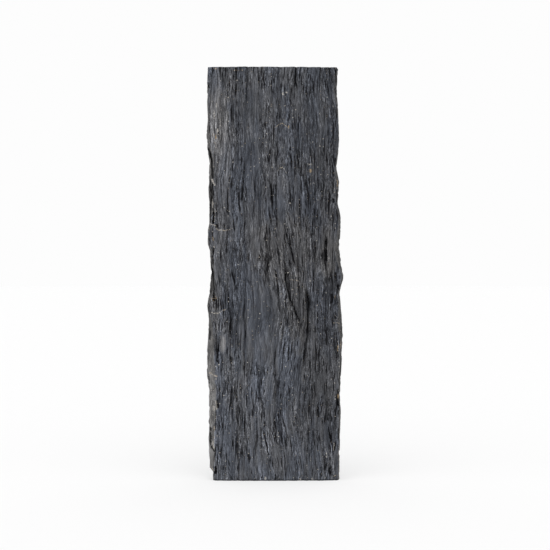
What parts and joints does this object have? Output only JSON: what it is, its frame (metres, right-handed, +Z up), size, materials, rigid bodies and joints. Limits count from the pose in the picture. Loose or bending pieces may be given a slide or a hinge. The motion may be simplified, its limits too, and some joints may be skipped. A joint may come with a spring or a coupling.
{
  "type": "slate slab",
  "caption": "Tall riven slab of dark blue-grey slate with rough broken sides and flat sawn ends, standing upright on one end.",
  "frame": {"origin": "middle of the lower sawn end, on the surface that the slab stands on", "axes": "+Z up along the grain and the length, +X to the right seen from the front over the width, +Y towards the back through the thickness; the front face looks along -Y"},
  "size_m": [0.2506, 0.0498, 0.75],
  "materials": {
    "slate": "matt riven slate with a faint sheen, dark crevices and a few pale and ochre chips"
  },
  "bodies": {
    "root": {"slate_slab": "slate"}
  },
  "joints": []
}
